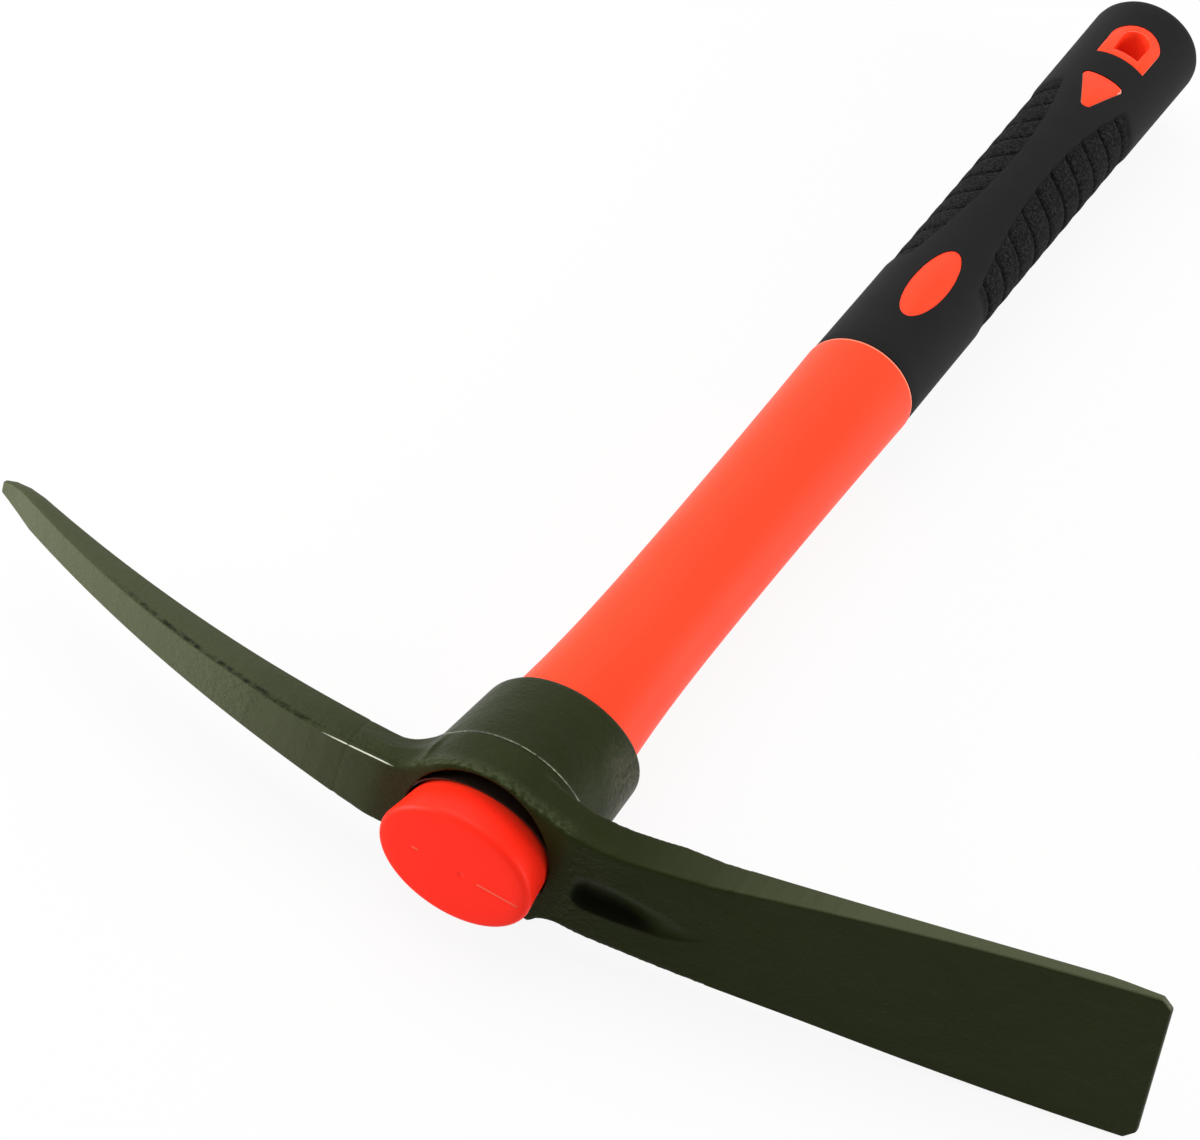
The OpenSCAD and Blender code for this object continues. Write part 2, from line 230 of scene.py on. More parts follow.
def draw_rings(name, rings, sides=OVAL_SIDES):
    """Draws a closed oval body by extruding a disc from ring to ring; a ring is y, width, height."""
    bpy.ops.object.select_all(action="DESELECT")
    y, width, height = rings[0]
    bpy.ops.mesh.primitive_circle_add(
        vertices=sides, radius=MM / 2, fill_type="NGON",
        location=at(0, y, 0), rotation=(math.radians(90), 0, 0))
    piece = bpy.context.object
    piece.name = name
    bpy.ops.object.transform_apply(location=True, rotation=True, scale=True)
    bpy.ops.object.mode_set(mode="EDIT")
    bpy.ops.mesh.select_all(action="SELECT")
    bpy.ops.transform.resize(value=(width, 1, height), center_override=at(0, y, 0))
    for (y0, width0, height0), (y1, width1, height1) in zip(rings, rings[1:]):
        bpy.ops.mesh.extrude_region_move(TRANSFORM_OT_translate={"value": (0, (y1 - y0) * MM, 0)})
        bpy.ops.transform.resize(
            value=(width1 / width0, 1, height1 / height0), center_override=at(0, y1, 0))
    bpy.ops.mesh.select_all(action="SELECT")
    bpy.ops.mesh.normals_make_consistent(inside=False)
    bpy.ops.object.mode_set(mode="OBJECT")
    return piece


def apply_modifier(piece, kind, **settings):
    """Adds a modifier with its settings and applies it."""
    modifier = piece.modifiers.new(kind.lower(), kind)
    for name, value in settings.items():
        setattr(modifier, name, value)
    bpy.context.view_layer.objects.active = piece
    bpy.ops.object.modifier_apply(modifier=modifier.name)


def discard(*pieces):
    """Deletes the helper bodies that have done their cut."""
    for piece in pieces:
        bpy.data.objects.remove(piece, do_unlink=True)


def join(piece, *others):
    """Joins other bodies into a piece and leaves it selected."""
    bpy.ops.object.select_all(action="DESELECT")
    for part in (piece, *others):
        part.select_set(True)
    bpy.context.view_layer.objects.active = piece
    bpy.ops.object.join()


def draw_prism(name, outline_centre, sides, radius, shape):
    """Draws an outline as a disc in plan, shapes it, and extrudes it through both faces of the grip."""
    bpy.ops.object.select_all(action="DESELECT")
    bpy.ops.mesh.primitive_circle_add(
        vertices=sides, radius=radius * MM, fill_type="NGON", location=outline_centre)
    piece = bpy.context.object
    piece.name = name
    bpy.ops.object.transform_apply(location=True, rotation=True, scale=True)
    bpy.ops.object.mode_set(mode="EDIT")
    bpy.ops.mesh.select_all(action="SELECT")
    shape(piece)
    bpy.ops.mesh.select_all(action="SELECT")
    bpy.ops.mesh.extrude_region_move(
        TRANSFORM_OT_translate={"value": (0, 0, 2 * HALF_REACH * MM)})
    bpy.ops.mesh.select_all(action="SELECT")
    bpy.ops.mesh.normals_make_consistent(inside=False)
    bpy.ops.object.mode_set(mode="OBJECT")
    return piece


def oval_prism(margin):
    """The oval island or its window."""
    centre = at(WINDOW_X, OVAL_Y, -HALF_REACH)
    return draw_prism("oval", centre, ISLAND_SIDES, 1, lambda piece: bpy.ops.transform.resize(
        value=(OVAL[0] / 2 + margin, OVAL[1] / 2 + margin, 1), center_override=centre))


def triangle_prism(margin):
    """The triangular island or its window: it points to the head and its corners are rounded."""
    corner = TRIANGLE_ROUND + margin
    half = TRIANGLE[0] / 2 - TRIANGLE_ROUND
    base = TRIANGLE_Y - TRIANGLE_ROUND
    tip = TRIANGLE_Y - TRIANGLE[1] + TRIANGLE_ROUND
    corners = ((WINDOW_X + half, base), (WINDOW_X - half, base), (WINDOW_X + TRIANGLE_TIP_X, tip))
    middle = sum(y for _, y in corners) / len(corners)

    def shape(piece):
        bpy.ops.object.mode_set(mode="OBJECT")
        centre = at(WINDOW_X, middle, -HALF_REACH)
        for vertex in piece.data.vertices:
            way = (vertex.co - centre).normalized()
            x, y = max(corners, key=lambda c: (c[0] - WINDOW_X) * way.x + (c[1] - middle) * way.y)
            vertex.co = at(x, y, -HALF_REACH) + way * corner * MM
        bpy.ops.object.mode_set(mode="EDIT")

    return draw_prism("triangle", at(WINDOW_X, middle, -HALF_REACH), 2 * ISLAND_SIDES, 1, shape)


def d_prism(flat_y, size, margin):
    """The D round the hanging hole, its window or the hole: flat toward the head, round to the butt."""
    radius = size[0] / 2 + margin
    centre_y = flat_y + size[1] - size[0] / 2
    centre = at(WINDOW_X, centre_y, -HALF_REACH)

    def shape(piece):
        bpy.ops.mesh.select_all(action="DESELECT")
        bpy.ops.object.mode_set(mode="OBJECT")
        for vertex in piece.data.vertices:
            vertex.select = vertex.co.y < centre.y - radius * MM / ISLAND_SIDES
        bpy.ops.object.mode_set(mode="EDIT")
        bpy.ops.transform.resize(
            value=(1, 0, 1), center_override=at(WINDOW_X, flat_y - margin, -HALF_REACH))

    return draw_prism("d_shape", centre, ISLAND_SIDES, radius, shape)


def settle(piece):
    """Moves the handle's pieces sideways toward the butt: it sits a hair off square in the eye."""
    for vertex in piece.data.vertices:
        along = (vertex.co.y - at(0, NECK_Y, 0).y) / ((BUTT_Y - NECK_Y) * MM)
        vertex.co.x += HANDLE_SET * MM * max(0, along)


# Rings from the knob's slightly crowned face to the seam, then down to the body under the grip.
knob_rings = [
    (KNOB_CROWN * share ** 2, *mix(KNOB_MIDDLE, grown(handle_size(0), -KNOB_ROUND), share))
    for share in KNOB_FACE_SHARES]
edge_rings = [
    (KNOB_CROWN + along, *grown(handle_size(KNOB_ROUND), inset))
    for along, inset in rounded(KNOB_ROUND, KNOB_ROUND, ROUND_STEPS)[1:]]
shaft_rings = [
    (y, *handle_size(y)) for y in steps(KNOB_CROWN + KNOB_ROUND, SEAM_Y - SEAM_LIP, SHAFT_STEP)[1:]]
lip_rings = [
    (SEAM_Y - before, *grown(SHOULDER, inset))
    for before, inset in reversed(rounded(SEAM_LIP, SEAM_LIP, EDGE_STEPS)[:-1])]
body_end = BUTT_Y + BUTT_ROUND - BUTT_WALL
body_rings = [(y, *grown(grip_size(y), -GRIP_WALL)) for y in steps(SEAM_Y, body_end, BODY_STEP)]
handle_jacket = draw_rings(
    "handle_jacket_moulding", knob_rings + edge_rings + shaft_rings + lip_rings + body_rings)

# The islands stand up through the grip's windows to just below its outside, on both faces.
hole = d_prism(HOLE_Y, HOLE, 0)
apply_modifier(handle_jacket, "BOOLEAN", operation="DIFFERENCE", object=hole)
island_limit = draw_rings("island_limit", [
    (y, *grown(grip_size(y), -ISLAND_DEPTH)) for y in (OVAL_Y - OVAL[1], OVAL_Y + OVAL[1], BUTT_Y)],
    LIMIT_SIDES)
islands = [oval_prism(0), triangle_prism(0), d_prism(HANG_Y, HANG, 0)]
for island in islands:
    apply_modifier(island, "BOOLEAN", operation="INTERSECT", object=island_limit)
apply_modifier(islands[2], "BOOLEAN", operation="DIFFERENCE", object=hole)
for island in islands:
    apply_modifier(island, "WELD", merge_threshold=ISLAND_WELD * MM)
    apply_modifier(island, "BEVEL", width=ISLAND_BEVEL * MM, segments=2, limit_method="ANGLE",
                   angle_limit=ISLAND_SHARP)
discard(island_limit)
join(handle_jacket, *islands)

# The islands' bevels are marked, because their rims get a painted highlight.
rim_mask = handle_jacket.data.attributes.new("rim", "FLOAT", "FACE")
for face in handle_jacket.data.polygons:
    x, y, z = (face.center - at(0, 0, 0)) / MM
    width, height = grip_size(y)
    outside = y > OVAL_Y - OVAL[1] and math.hypot(2 * x / width, 2 * z / height) > RIM_FROM
    rim_mask.data[face.index].value = outside and RIM_FACING[0] < abs(face.normal.z) < RIM_FACING[1]
settle(handle_jacket)
bpy.ops.object.shade_smooth_by_angle(angle=JACKET_SMOOTH)

# Moulded polypropylene: an even, strong orange with a satin skin and a very fine mould grain. The
# knob is a shade redder, which is painted shade. The seam's edge and the islands' rims are paler as painted
# highlights, and the knob's face keeps bits of the mould's parting line, paler along it as a painted
# highlight, and the mark of the pin that held the core.
ORANGE = "#FF4526"
ORANGE_DEEP = "#FF3F20"
# The knob's redder orange is painted shade.
KNOB_SHADE_RED = "#FF2814"
# The seam's paler edge is a painted highlight on its rounded lip.
SEAM_HIGHLIGHT = "#FF8A6E"
# The islands' paler rims are painted highlights on their bevels.
RIM_HIGHLIGHT = "#FFAE9A"
ORANGE_CLOUD_MM = 22
ORANGE_GRAIN_MM = 0.7
ORANGE_GRAIN_DEPTH_MM = 0.012
ORANGE_ROUGHNESS = (0.38, 0.48)
PLASTIC_SPECULAR = 0.12
KNOB_END_Y = (14, 8)
SEAM_HIGHLIGHT_MM = (0.9, 0.5)
PARTING_LINES = ((-9.4, -7.6), (5.9, 15.4))
# The parting line's paler colour is a painted highlight on its raised ridge.
PARTING_HIGHLIGHT = "#FF6851"
PARTING_MM = (0.26, 0.1)
PARTING_FADE = 0.3
PARTING_END_Y = (1.5, 1)
PARTING_HEIGHT_MM = 0.16
PIN_MARK = (2.2, 0.3, 0)
PIN_MARK_MM = (0.9, 0.35)


def tool_place(tree):
    """Place on a piece in millimetres from the knob's face and the handle's axis, whole and split."""
    place = add_node(tree, "ShaderNodeTexCoord")["Object"]
    whole = add_node(tree, "ShaderNodeMapping", {
        "Vector": place, "Scale": (1 / MM, 1 / MM, 1 / MM), "Location": -at(0, 0, 0) / MM})[0]
    return whole, add_node(tree, "ShaderNodeSeparateXYZ", {0: whole})


def near(value, middle, distances):
    """Two limits that hold a value near a middle: none past the first distance, all inside the second."""
    gone, full = distances
    return (value, middle - gone, middle - full), (value, middle + gone, middle + full)


def soft_mask(tree, *limits):
    """Share of the surface within all limits; a limit is a value, where it begins and where it is full."""
    shares = [
        add_node(tree, "ShaderNodeMapRange", {"Value": value, "From Min": begins, "From Max": full})[0]
        for value, begins, full in limits]
    mask = shares[0]
    for share in shares[1:]:
        mask = add_node(tree, "ShaderNodeMath", {0: mask, 1: share}, operation="MULTIPLY")[0]
    return mask


orange_plastic, tree, shader = new_material("moulded_orange_polypropylene")
place = add_node(tree, "ShaderNodeTexCoord")["Object"]
clouds = add_node(tree, "ShaderNodeTexNoise", {
    "Vector": place, "Scale": per_metre(ORANGE_CLOUD_MM), "Detail": 2})
tool_mm, tool_axes = tool_place(tree)
rim = add_node(tree, "ShaderNodeAttribute", attribute_name="rim")
lines = []
for line_start, line_end in PARTING_LINES:
    half = (line_end - line_start) / 2
    lines.append(soft_mask(
        tree, *near(tool_axes["X"], line_start + half, (half, half - PARTING_FADE)),
        *near(tool_axes["Z"], 0, PARTING_MM), (tool_axes["Y"], *PARTING_END_Y)))
parting = add_node(tree, "ShaderNodeMath", dict(enumerate(lines)), operation="ADD")[0]
from_pin = add_node(tree, "ShaderNodeVectorMath", {0: tool_mm, 1: PIN_MARK}, operation="DISTANCE")
pin_mark = soft_mask(tree, (from_pin["Value"], *PIN_MARK_MM))
marks = add_node(tree, "ShaderNodeMath", {0: parting, 1: pin_mark}, operation="SUBTRACT")[0]
tint = linear(ORANGE)
for share, colour in (
        (clouds[0], ORANGE_DEEP),
        # Painted shade on the knob.
        (soft_mask(tree, (tool_axes["Y"], *KNOB_END_Y)), KNOB_SHADE_RED),
        # Painted highlight on the seam's edge.
        (soft_mask(tree, *near(tool_axes["Y"], SEAM_Y, SEAM_HIGHLIGHT_MM)), SEAM_HIGHLIGHT),
        # Painted highlight on the islands' rims.
        (rim["Fac"], RIM_HIGHLIGHT),
        # Painted highlight on the parting line.
        (parting, PARTING_HIGHLIGHT)):
    tint = add_node(
        tree, "ShaderNodeMix", {"Factor": share, 6: tint, 7: linear(colour)}, data_type="RGBA")[2]
grain = add_node(tree, "ShaderNodeTexNoise", {
    "Vector": place, "Scale": per_metre(ORANGE_GRAIN_MM), "Detail": 2})
marked = add_node(tree, "ShaderNodeBump", {"Height": marks, "Distance": PARTING_HEIGHT_MM * MM})
raised = add_node(tree, "ShaderNodeBump", {
    "Height": grain[0], "Distance": ORANGE_GRAIN_DEPTH_MM * MM, "Normal": marked[0]})
sheen = add_node(tree, "ShaderNodeMapRange", {
    "Value": clouds[0], "To Min": ORANGE_ROUGHNESS[0], "To Max": ORANGE_ROUGHNESS[1]})
tree.links.new(tint, shader.inputs["Base Color"])
tree.links.new(sheen[0], shader.inputs["Roughness"])
tree.links.new(raised[0], shader.inputs["Normal"])
shader.inputs["Specular IOR Level"].default_value = PLASTIC_SPECULAR
handle_jacket.data.materials.clear()
handle_jacket.data.materials.append(orange_plastic)
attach(handle_jacket, "root")
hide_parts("handle_jacket")


# Grip sleeve
# Black rubber moulded over the jacket from the seam to the round butt. Two ribbed, stippled panels
# lie at the sides of a smooth strip that narrows in the middle, and windows show the islands.

GRIP_SIDES = 240
SEAM_GAP = 0.35
SEAM_EDGE = 0.4
RIB_PITCH = 10.0
RIB_COUNT = 10
RIB_FIRST_Y = 250.3
RIB_LEAN = 0.77
RIB_LEAN_X = (5, 11)
RIB_GROOVE = ((0, -1.1), (0.3, -0.95), (0.6, -0.2), (1.0, 0.0), (5, 0.14))
RIB_SHOULDERS = (1.5, 2.2)
RIB_TOPS = (3.6, 5.0, 6.4)
PANEL_DEPTH = 0.42
PANEL_EDGE = 1.0
PANEL_BEFORE = 3.8
PANEL_AFTER = 6.5
STRIP_X = 0.5
STRIP_HALF = 4.4
STRIP_END_HALF = 9.2
PLAIN_STEP = 2.0
LEAN_FADE = 18.0
BUTT_STEPS = 16
BUTT_INSET = 1.5
BODY_GAP = 0.05
SAME_PLACE = 0.01
RING_SPACING = 1.0
GRIP_SMOOTH = math.radians(75)

panel_start = RIB_FIRST_Y - PANEL_BEFORE
panel_end = RIB_FIRST_Y + RIB_PITCH * (RIB_COUNT - 1) + PANEL_AFTER
panel_middle = (panel_start + panel_end) / 2


def smooth_step(low, high, value):
    """0 below low, 1 above high, and a soft step between them."""
    share = min(1, max(0, (value - low) / (high - low)))
    return share * share * (3 - 2 * share)


def along_table(table, place):
    """Value of a table of places and values at a place between them."""
    for (place0, value0), (place1, value1) in zip(table, table[1:]):
        if place <= place1:
            return mix(value0, value1, (place - place0) / (place1 - place0))
    return table[-1][1]


def panel_share(x, along):
    """How far a point of the outside lies in a ribbed panel, from 0 to 1."""
    from_middle = 2 * (along - panel_middle) / (panel_end - panel_start)
    strip = mix(STRIP_HALF, STRIP_END_HALF, from_middle ** 2)
    return (smooth_step(0, PANEL_EDGE, abs(x - STRIP_X) - strip)
            * smooth_step(panel_start, panel_start + PANEL_EDGE, along)
            * smooth_step(panel_end, panel_end - PANEL_EDGE, along))


def rib_lean(x):
    """How far toward the head a groove has run at a distance from the middle of the strip."""
    start, end = RIB_LEAN_X
    out = max(-start / 2, min(abs(x), end) - start)
    return RIB_LEAN * (out - max(0, out) ** 2 / (2 * (end - start)))


def rib_height(along):
    """Height of the ribs and their narrow grooves in millimetres."""
    nearest = RIB_FIRST_Y + RIB_PITCH * round((along - RIB_FIRST_Y) / RIB_PITCH)
    return along_table(RIB_GROOVE, abs(along - nearest))


# Rings of the outside: plain to the panels, close together at each groove, and round at the butt.
seam_rings = [
    (SEAM_Y + SEAM_GAP + along, inset) for along, inset in rounded(SEAM_EDGE, SEAM_EDGE, EDGE_STEPS)]
plain_rings = [(y, 0) for y in steps(SEAM_Y + SEAM_GAP + SEAM_EDGE, panel_start, PLAIN_STEP)[1:]]
groove_sides = [place for place, _ in RIB_GROOVE[:-1]] + list(RIB_SHOULDERS)
rib_places = {
    RIB_FIRST_Y + RIB_PITCH * rib + place for rib in range(RIB_COUNT)
    for place in (*groove_sides, *(-side for side in groove_sides), *RIB_TOPS)}
panel_rings = [(y, 0) for y in sorted(rib_places) if panel_start < y < panel_end] + [(panel_end, 0)]
rear_rings = [(y, 0) for y in steps(panel_end, BUTT_Y, PLAIN_STEP)[1:]]
butt_rings = [
    (BUTT_Y + BUTT_ROUND - before, inset)
    for before, inset in reversed(rounded(BUTT_ROUND, BUTT_DRAW, BUTT_STEPS)[:-1])]
rings = seam_rings + plain_rings + panel_rings + rear_rings + butt_rings

bpy.ops.object.select_all(action="DESELECT")
bpy.ops.mesh.primitive_cylinder_add(
    vertices=GRIP_SIDES, radius=MM, depth=RING_SPACING * (len(rings) - 1), end_fill_type="NOTHING",
    rotation=(math.radians(-90), 0, 0))
grip_sleeve = bpy.context.object
grip_sleeve.name = "grip_sleeve_moulding"
bpy.ops.object.transform_apply(location=True, rotation=True, scale=True)
bpy.ops.object.mode_set(mode="EDIT")
bpy.ops.mesh.select_mode(type="EDGE")
bpy.ops.mesh.select_all(action="DESELECT")
bpy.ops.object.mode_set(mode="OBJECT")
for edge in grip_sleeve.data.edges:
    start, end = [grip_sleeve.data.vertices[i].co for i in edge.vertices]
    edge.select = abs(start.y - end.y) > RING_SPACING / 2
bpy.ops.object.mode_set(mode="EDIT")
bpy.ops.mesh.subdivide(number_cuts=len(rings) - 2)
bpy.ops.object.mode_set(mode="OBJECT")

# Each vertex goes to its ring's oval. Over the panels the rings lean as the ribs do, so that a
# groove follows its ring. Each vertex keeps how far it lies in a panel and in a groove for the material.
panel_mask = grip_sleeve.data.attributes.new("panel", "FLOAT", "POINT")
groove_mask = grip_sleeve.data.attributes.new("groove", "FLOAT", "POINT")
first_ring = -RING_SPACING * (len(rings) - 1) / 2
for vertex in grip_sleeve.data.vertices:
    along, inset = rings[round((vertex.co.y - first_ring) / RING_SPACING)]
    angle = math.atan2(vertex.co.z, vertex.co.x)
    lean = (rib_lean(grip_size(along)[0] / 2 * math.cos(angle))
            * smooth_step(panel_start - LEAN_FADE, panel_start, along)
            * smooth_step(panel_end + LEAN_FADE, panel_end, along))
    y = along - lean
    width, height = grown(grip_size(y), inset)
    x, z = width / 2 * math.cos(angle), height / 2 * math.sin(angle)
    panel = panel_share(x, along)
    relief = panel * (rib_height(along) - PANEL_DEPTH)
    panel_mask.data[vertex.index].value = panel
    # How deep a vertex lies in a groove sets the grooves' painted shade.
    groove_mask.data[vertex.index].value = panel * max(0, rib_height(along) / RIB_GROOVE[0][1])
    vertex.co = at(x + relief * math.cos(angle), y, z + relief * math.sin(angle))


def select_ring(piece, y):
    """Selects the vertices at one distance from the knob's face."""
    bpy.ops.object.mode_set(mode="EDIT")
    bpy.ops.mesh.select_mode(type="VERT")
    bpy.ops.mesh.select_all(action="DESELECT")
    bpy.ops.object.mode_set(mode="OBJECT")
    for vertex in piece.data.vertices:
        vertex.select = abs(vertex.co.y - at(0, y, 0).y) < SAME_PLACE * MM
    bpy.ops.object.mode_set(mode="EDIT")


# The butt's last ring is closed, and the seam's edge turns inward to the sleeve's inner wall.
select_ring(grip_sleeve, rings[-1][0])
bpy.ops.mesh.edge_face_add()
bpy.ops.mesh.inset(thickness=BUTT_INSET * MM)
bpy.ops.mesh.poke()
select_ring(grip_sleeve, rings[0][0])
outer = grown(grip_size(rings[0][0]), rings[0][1])
inner = grown(grip_size(rings[0][0]), BODY_GAP - GRIP_WALL)
far = grown(grip_size(body_end), BODY_GAP - GRIP_WALL)
bpy.ops.mesh.extrude_edges_move()
bpy.ops.transform.resize(
    value=(inner[0] / outer[0], 1, inner[1] / outer[1]), center_override=at(0, rings[0][0], 0))
bpy.ops.mesh.extrude_edges_move(
    TRANSFORM_OT_translate={"value": (0, (body_end - rings[0][0]) * MM, 0)})
bpy.ops.transform.resize(
    value=(far[0] / inner[0], 1, far[1] / inner[1]), center_override=at(0, body_end, 0))
bpy.ops.mesh.edge_face_add()
bpy.ops.mesh.select_all(action="SELECT")
bpy.ops.mesh.normals_make_consistent(inside=False)
bpy.ops.object.mode_set(mode="OBJECT")
windows = [oval_prism(WINDOW_GAP), triangle_prism(WINDOW_GAP), d_prism(HANG_Y, HANG, WINDOW_GAP)]
for window in windows:
    apply_modifier(grip_sleeve, "BOOLEAN", operation="DIFFERENCE", object=window)
discard(hole, *windows)
settle(grip_sleeve)
bpy.ops.object.select_all(action="DESELECT")
grip_sleeve.select_set(True)
bpy.context.view_layer.objects.active = grip_sleeve
bpy.ops.object.shade_smooth_by_angle(angle=GRIP_SMOOTH)

# Thermoplastic rubber: near-black and dull, smooth on the strip, and darker, duller and stippled on the
# ribbed panels, with painted shade in their grooves.
RUBBER = "#191818"
RUBBER_DUSTY = "#1E1D1D"
RUBBER_PANEL = "#0F0F0F"
RUBBER_SPECK = "#262525"
GROOVE_SHADE = "#030303"
RUBBER_CLOUD_MM = 9
RUBBER_STIPPLE_MM = 0.7
RUBBER_STIPPLE_DEPTH_MM = 0.22
SPECK_EDGES = (0.45, 0.62)
RUBBER_SKIN_MM = 0.35
RUBBER_SKIN_DEPTH_MM = 0.02
RUBBER_ROUGHNESS = (0.6, 0.85)
RUBBER_SPECULAR = 0.04
black_rubber, tree, shader = new_material("stippled_black_rubber")
place = add_node(tree, "ShaderNodeTexCoord")["Object"]
in_panel = add_node(tree, "ShaderNodeAttribute", attribute_name="panel")
clouds = add_node(tree, "ShaderNodeTexNoise", {
    "Vector": place, "Scale": per_metre(RUBBER_CLOUD_MM), "Detail": 4})
stipple = add_node(tree, "ShaderNodeTexNoise", {
    "Vector": place, "Scale": per_metre(RUBBER_STIPPLE_MM), "Detail": 2})
stipple_here = add_node(tree, "ShaderNodeMath", {
    0: stipple[0], 1: in_panel["Fac"]}, operation="MULTIPLY")
in_groove = add_node(tree, "ShaderNodeAttribute", attribute_name="groove")
tint = linear(RUBBER)
for share, colour in (
        (clouds[0], RUBBER_DUSTY),
        (in_panel["Fac"], RUBBER_PANEL),
        (soft_mask(tree, (stipple_here[0], *SPECK_EDGES)), RUBBER_SPECK),
        # Painted shade in the grooves.
        (in_groove["Fac"], GROOVE_SHADE)):
    tint = add_node(
        tree, "ShaderNodeMix", {"Factor": share, 6: tint, 7: linear(colour)}, data_type="RGBA")[2]
stippled = add_node(tree, "ShaderNodeBump", {
    "Height": stipple_here[0], "Distance": RUBBER_STIPPLE_DEPTH_MM * MM})
skin = add_node(tree, "ShaderNodeTexNoise", {
    "Vector": place, "Scale": per_metre(RUBBER_SKIN_MM), "Detail": 2})
raised = add_node(tree, "ShaderNodeBump", {
    "Height": skin[0], "Distance": RUBBER_SKIN_DEPTH_MM * MM, "Normal": stippled[0]})
tree.links.new(tint, shader.inputs["Base Color"])
tree.links.new(raised[0], shader.inputs["Normal"])
dullness = add_node(tree, "ShaderNodeMapRange", {
    "Value": in_panel["Fac"], "To Min": RUBBER_ROUGHNESS[0], "To Max": RUBBER_ROUGHNESS[1]})
tree.links.new(dullness[0], shader.inputs["Roughness"])
shader.inputs["Specular IOR Level"].default_value = RUBBER_SPECULAR
grip_sleeve.data.materials.clear()
grip_sleeve.data.materials.append(black_rubber)
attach(grip_sleeve, "root")
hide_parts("grip_sleeve")


# Eye bond
# The epoxy that fills the taper between the handle's plug and the eye and keeps the head on.
# It lies inside the eye. The CAD sleeve is right as it is and gets its finish here.

EPOXY = "#2A221A"
EPOXY_DARK = "#1A1512"
EPOXY_CLOUD_MM = 3
EPOXY_DEPTH_MM = 0.1
EPOXY_ROUGHNESS = 0.3
cured_epoxy, tree, shader = new_material("cured_epoxy")
place = add_node(tree, "ShaderNodeTexCoord")["Object"]
clouds = add_node(tree, "ShaderNodeTexNoise", {
    "Vector": place, "Scale": per_metre(EPOXY_CLOUD_MM), "Detail": 2})
tint = add_node(tree, "ShaderNodeMix", {
    "Factor": clouds[0], 6: linear(EPOXY), 7: linear(EPOXY_DARK)}, data_type="RGBA")
raised = add_node(tree, "ShaderNodeBump", {
    "Height": clouds[0], "Distance": EPOXY_DEPTH_MM * MM})
tree.links.new(tint[2], shader.inputs["Base Color"])
tree.links.new(raised[0], shader.inputs["Normal"])
shader.inputs["Roughness"].default_value = EPOXY_ROUGHNESS
eye_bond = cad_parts["eye_bond"]
eye_bond.data.materials.clear()
eye_bond.data.materials.append(cured_epoxy)


# Head
# One steel forging, painted dark olive: the oval eye with its collar, the curved pick and the hoe
# blade. It is driven onto the handle's taper and bonded there.

EYE_FRONT_Y = 9.8
EYE = (40.4, 36.4)
EYE_LIP = 0.9
CREASE_Y = 22.4
EYE_REAR = (39.8, 35.4)
COLLAR_FRONT = (39.0, 34.6)
COLLAR_Y = 47.9
COLLAR_REAR = (36.8, 29.0)
COLLAR_EDGE = 1.2
EYE_HOLE_GAP = 0.3
EYE_MOUTH_LIP = 0.7
EYE_MOUTH_DEEP = 9.0
EYE_OVERRUN = 1.0
ARM_FRONT_Y = 8.4
ROOT_FILLET = 5.0
ROOT_FILLET_X = 21.0
ROOT_FILLET_SHARE = 0.98
ARM_EDGE = 0.55
ROOT_EDGE = 0.35
ARM_SHARP = math.radians(25)
ARM_STEP = 4.0
ARM_START = 1.0
ARM_OVERLAP = 4.0
ARM_TUCK = 0.6
BLADE_ROOT_X = 14.5
BLADE_START_X = 4.0
BLADE_REACH = 141.6
BLADE_LEAN = math.radians(18)
BLADE_SKEW = math.radians(9)
BLADE_W = (17.2, 39.8)
BLADE_T = (13.8, 3.0)
BLADE_EDGE_T = 1.8
BLADE_END_MM = 15
BLADE_ROOT_T = 9.7
BLADE_FLARE_POWER = 1.82
BLADE_THIN_POWER = 2.3
BLADE_CORNER = 2.4
BLADE_ROOT_LOW = 0.8
BLADE_ROOT_LOW_X = ((18, 27), (75, 40))
BLADE_TOP_RISE = -0.35
BLADE_LOW_RISE = 0.45
BLADE_ROOT_TOP = ((4, 17.4), (9, 16.6), (14, 15.7), (18.7, 15), (21, 14.5), (24.6, 13.6), (29, 13.15),
                  (34, 13.0), (39, 13.15), (46, 13.4))
BLADE_SEAM_X = 51.0
BLADE_ROOT_STEP = 1.5
PICK_START_X = 16.2
PICK_ROOT_X = 19.0
PICK_REACH = 128.5
PICK_SWEEP = 20.0
PICK_SEAM_X = 31.0
PICK_ROOT_STEP = 0.6
PICK_W = (17.3, 7.4)
PICK_T = (10.7, 3.8)
PICK_HEEL = 1.8
PICK_HEEL_X = 24.5
PICK_HEEL_LEN = 4.8
PICK_CURVE_POWER = 2.2
PICK_THIN_POWER = 2.3
PICK_NARROW_POWER = 2.2
PICK_RIDGE_SHARE = 0.45
PICK_BACK_SHARE = (0.8, 0.75)
PICK_FRONT_DROP = 0.7
PICK_FRONT_DROP_X = ((16, 19), (62, 42))
PICK_END = 4.0
PICK_END_SHARES = ((10, 1), (6, 0.88), (2.5, 0.66), (0, 0.4))
HOLLOW_LOW = ((21, 0.5), (23, -2.2), (25, -3.4), (31, -4.1), (36.5, -4.4), (41, -4.5), (45, -3.8),
              (49, -2.1))
HOLLOW_TOP = ((21, 3.0), (22.3, 5.4), (24.4, 5.9), (26.6, 5.7), (31, 5.0), (36.6, 3.4), (49, -0.6))
HOLLOW_DEEP = 2.6
HOLLOW_FACING = -0.5
HOLLOW_ENDS_X = ((21, 24.5), (49, 30))
HOLLOW_SIDES = ((0, 0.25), (1, 0.2))
HOLLOW_DARK = ((21, (1.0, 4)), (24, (3.6, 9.6)), (28, (3.2, 9.0)), (31.5, (2.4, 7.8)), (34, (1.6, 6.2)),
               (37, (0.7, 4.2)), (39, (0.4, 2.6)), (42, (0.3, 1.2)), (49, (0.2, 0.8)))
HOLLOW_DARK_X = (20.8, 23)
HOLLOW_TAIL_X = (44, 35)
